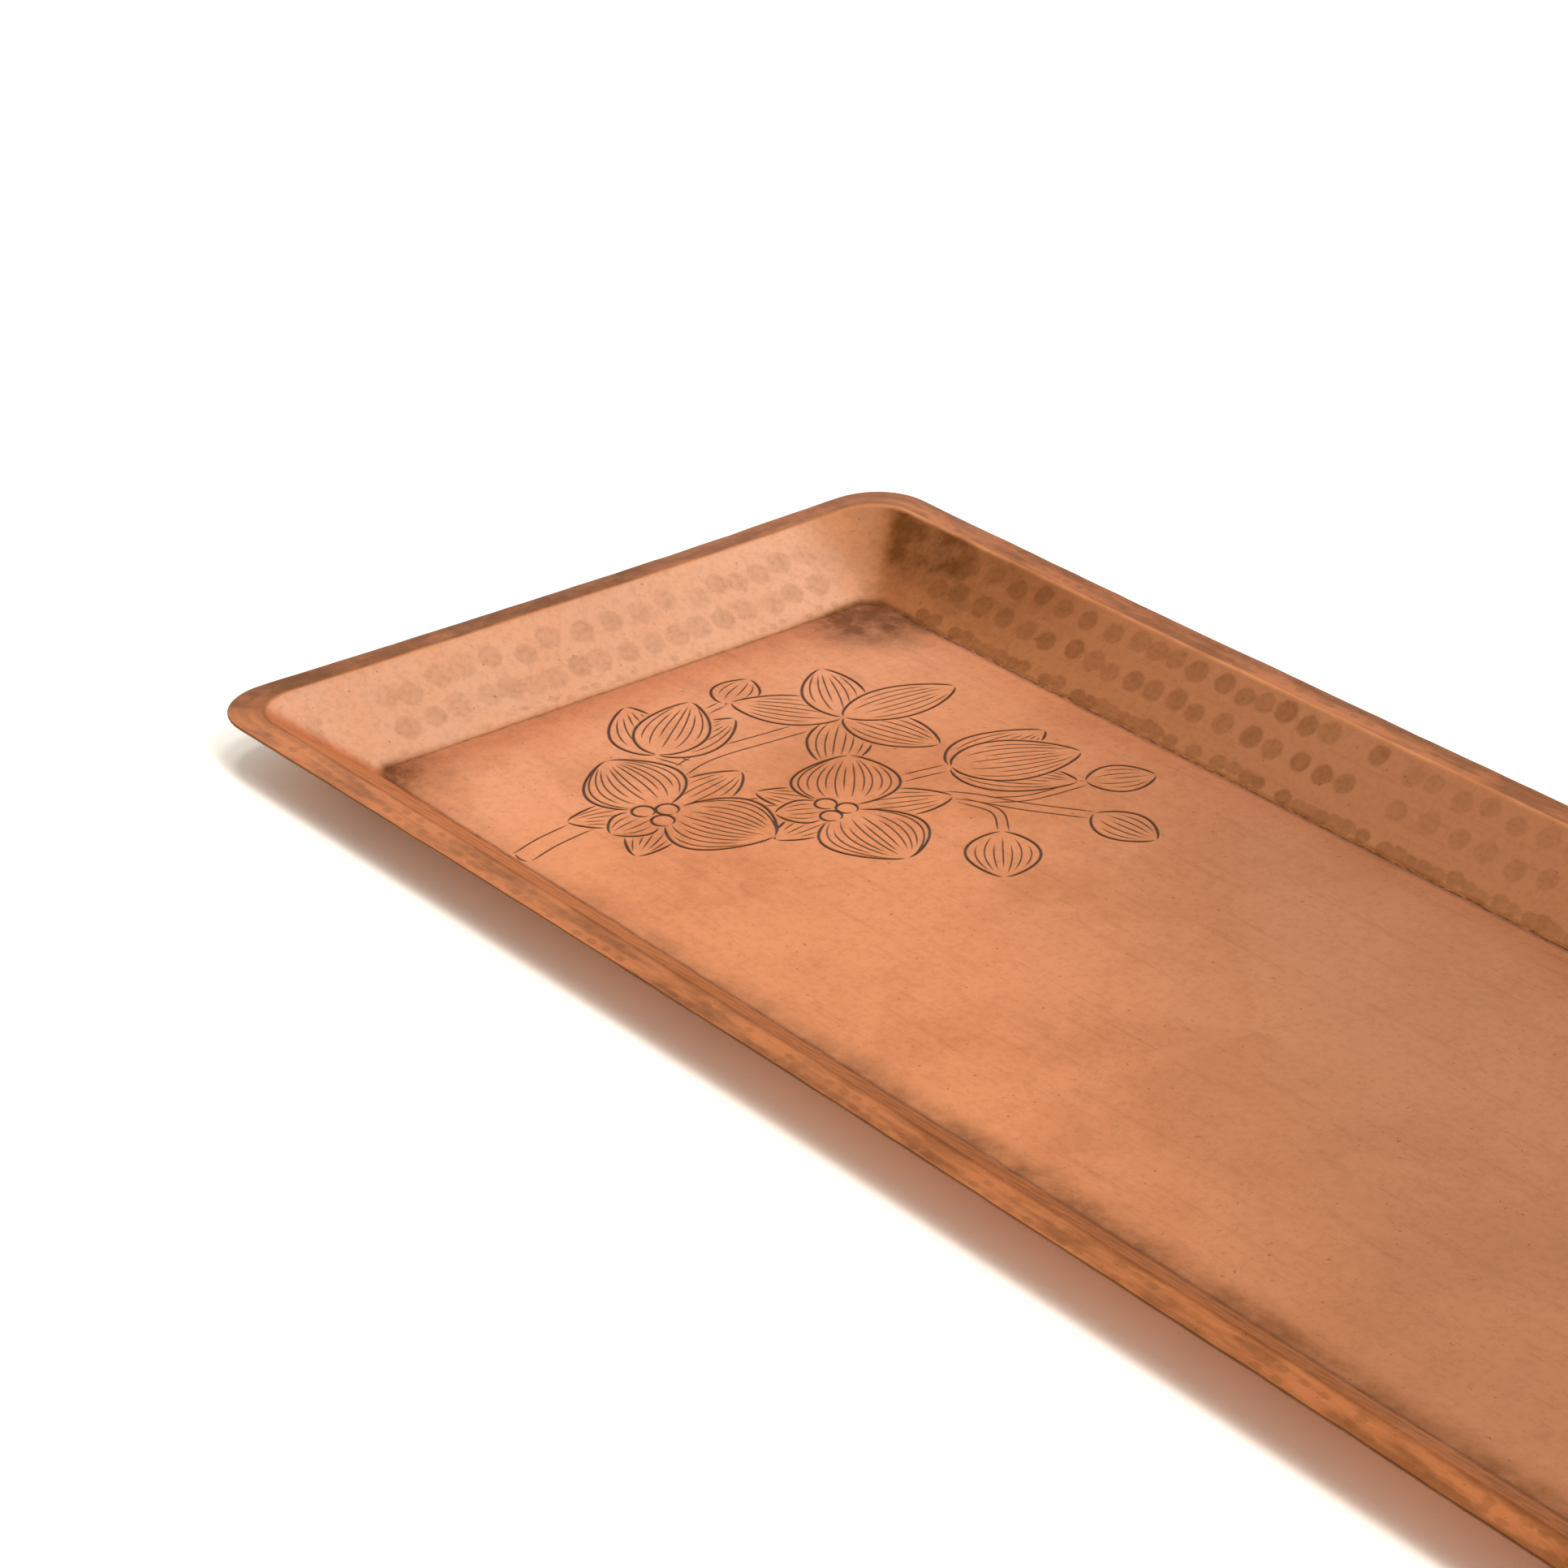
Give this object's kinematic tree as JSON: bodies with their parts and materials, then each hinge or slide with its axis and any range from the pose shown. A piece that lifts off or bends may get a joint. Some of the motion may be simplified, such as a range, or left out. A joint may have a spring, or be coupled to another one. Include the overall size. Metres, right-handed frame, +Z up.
{
  "type": "serving tray",
  "caption": "Long rectangular hammered copper tray with sloping walls, a flat turned-out lip and rounded corners.",
  "frame": {"origin": "middle of the underside of the floor, on the plane that the tray rests on", "axes": "+X along the tray, away from the engraved end; +Y across it; +Z up, out of the open side"},
  "size_m": [0.704, 0.304, 0.0245],
  "materials": {
    "copper_sheet": "hand-hammered copper sheet, brushed satin with a dark patina in the bends and engraved lines"
  },
  "bodies": {
    "root": {"tray": "copper_sheet"}
  },
  "joints": []
}
